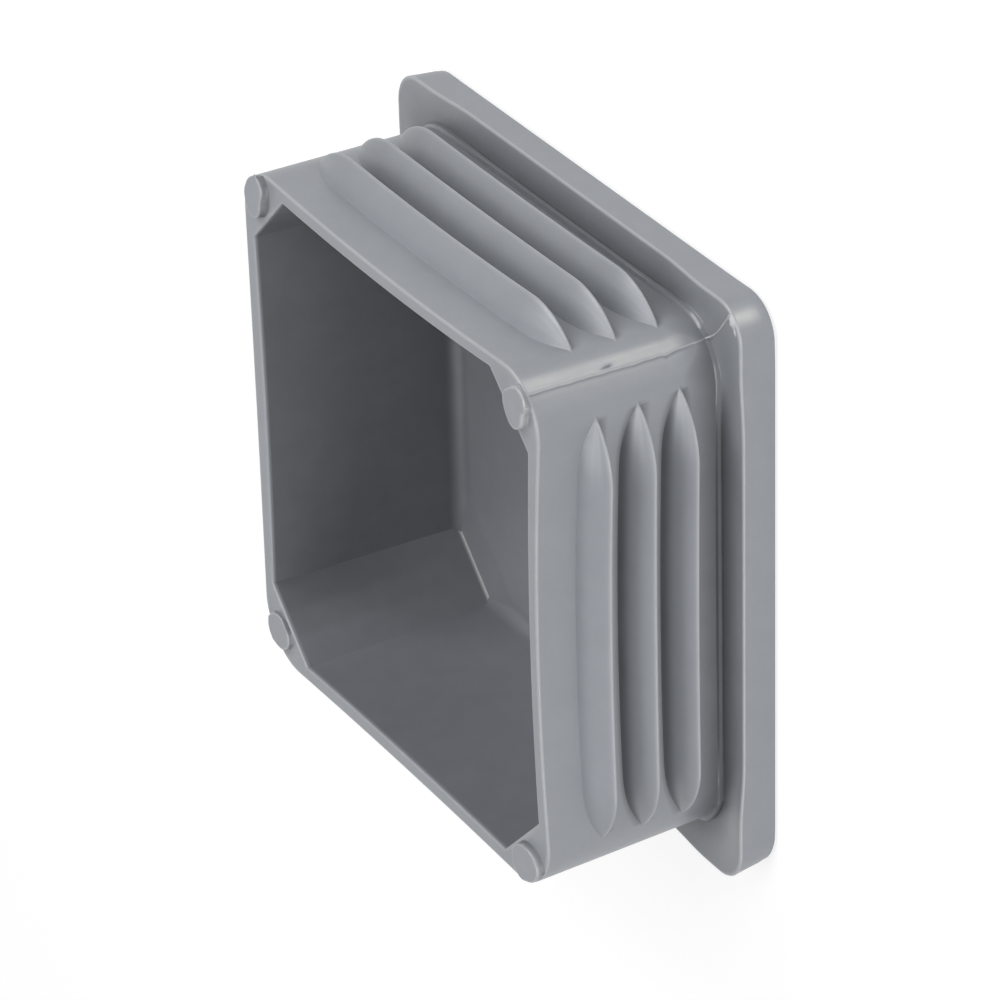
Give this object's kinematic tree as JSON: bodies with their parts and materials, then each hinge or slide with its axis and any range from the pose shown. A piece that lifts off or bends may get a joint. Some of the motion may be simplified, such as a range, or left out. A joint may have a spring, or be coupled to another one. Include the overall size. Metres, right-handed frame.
{
  "type": "tube end cap",
  "caption": "Square ribbed plug that closes the end of a square tube, with a flat head, a hollow spigot and rows of saw-tooth lamellae.",
  "frame": {"origin": "centre of the head's flat outer face", "axes": "+Z from the outer face through the spigot to its open rim; X and Y along the sides of the square"},
  "size_m": [0.1, 0.1, 0.0388],
  "materials": {
    "moulded_plastic": "moulded grey polyethylene, satin-matt, with faint flow lines and brushed rib ends"
  },
  "bodies": {
    "root": {"end_cap": "moulded_plastic"}
  },
  "joints": []
}
